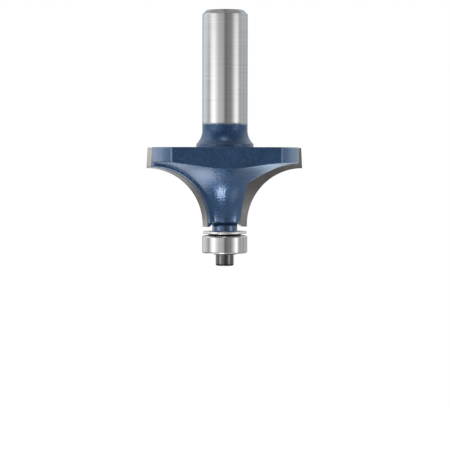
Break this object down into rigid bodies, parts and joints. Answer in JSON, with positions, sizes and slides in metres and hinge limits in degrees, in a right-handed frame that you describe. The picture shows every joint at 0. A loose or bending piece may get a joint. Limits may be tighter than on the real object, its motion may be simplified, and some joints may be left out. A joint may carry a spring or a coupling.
{
  "type": "round-over router bit",
  "caption": "Round-over cutter with brazed carbide tips on a painted steel body, a straight shank above and a ball bearing pilot held by a socket screw below.",
  "frame": {"origin": "on the tool axis at the lower end of the bare shank, where the paint begins", "axes": "+Z along the tool axis towards the end of the shank; the cutting edges lie in the plane Y = 0, at +X and -X; seen from the shank end the tool turns clockwise"},
  "size_m": [0.0444, 0.034, 0.0717],
  "materials": {
    "blue_paint": "glossy blue paint below, bare ground steel on the shank",
    "carbide": "ground tungsten carbide",
    "washer_steel": "bright stamped steel",
    "black_steel": "black oxide",
    "bearing_steel": "polished",
    "shield_steel": "pressed sheet steel"
  },
  "bodies": {
    "cutter": {"cutter_body": "blue_paint", "carbide_tip_1": "carbide", "carbide_tip_2": "carbide", "dust_washer": "washer_steel", "spacer_ring": "black_steel", "bearing_inner_ring": "bearing_steel", "retaining_washer": "black_steel", "clamp_screw": "black_steel"},
    "outer_ring": {"bearing_outer_ring": "bearing_steel", "upper_shield": "shield_steel", "lower_shield": "shield_steel", "upper_snap_wire": "shield_steel", "lower_snap_wire": "shield_steel"},
    "cage": {"cage_upper": "shield_steel", "cage_lower": "shield_steel", "cage_rivets": "shield_steel"},
    "ball_1": {"ball_1": "bearing_steel"},
    "ball_2": {"ball_2": "bearing_steel"},
    "ball_3": {"ball_3": "bearing_steel"},
    "ball_4": {"ball_4": "bearing_steel"},
    "ball_5": {"ball_5": "bearing_steel"},
    "ball_6": {"ball_6": "bearing_steel"},
    "ball_7": {"ball_7": "bearing_steel"}
  },
  "joints": [
    {"name": "bearing_spin", "type": "hinge", "parent": "cutter", "child": "outer_ring", "pos_m": [0, 0, -0.03392], "axis": [0, 0, 1], "continuous": true},
    {"name": "cage_spin", "type": "hinge", "parent": "cutter", "child": "cage", "pos_m": [0, 0, -0.03392], "axis": [0, 0, 1], "continuous": true},
    {"name": "ball_1_spin", "type": "hinge", "parent": "cage", "child": "ball_1", "pos_m": [0.00437, 0, -0.03392], "axis": [0, 0, 1], "continuous": true},
    {"name": "ball_2_spin", "type": "hinge", "parent": "cage", "child": "ball_2", "pos_m": [0.00272, 0.00341, -0.03392], "axis": [0, 0, 1], "continuous": true},
    {"name": "ball_3_spin", "type": "hinge", "parent": "cage", "child": "ball_3", "pos_m": [-0.00097, 0.00426, -0.03392], "axis": [0, 0, 1], "continuous": true},
    {"name": "ball_4_spin", "type": "hinge", "parent": "cage", "child": "ball_4", "pos_m": [-0.00393, 0.00189, -0.03392], "axis": [0, 0, 1], "continuous": true},
    {"name": "ball_5_spin", "type": "hinge", "parent": "cage", "child": "ball_5", "pos_m": [-0.00393, -0.00189, -0.03392], "axis": [0, 0, 1], "continuous": true},
    {"name": "ball_6_spin", "type": "hinge", "parent": "cage", "child": "ball_6", "pos_m": [-0.00097, -0.00426, -0.03392], "axis": [0, 0, 1], "continuous": true},
    {"name": "ball_7_spin", "type": "hinge", "parent": "cage", "child": "ball_7", "pos_m": [0.00272, -0.00341, -0.03392], "axis": [0, 0, 1], "continuous": true}
  ],
  "couplings": [
    {"joint": "cage_spin", "follows": "bearing_spin", "ratio": 0.63635},
    {"joint": "ball_1_spin", "follows": "bearing_spin", "ratio": 1.6972},
    {"joint": "ball_2_spin", "follows": "bearing_spin", "ratio": 1.6972},
    {"joint": "ball_3_spin", "follows": "bearing_spin", "ratio": 1.6972},
    {"joint": "ball_4_spin", "follows": "bearing_spin", "ratio": 1.6972},
    {"joint": "ball_5_spin", "follows": "bearing_spin", "ratio": 1.6972},
    {"joint": "ball_6_spin", "follows": "bearing_spin", "ratio": 1.6972},
    {"joint": "ball_7_spin", "follows": "bearing_spin", "ratio": 1.6972}
  ]
}
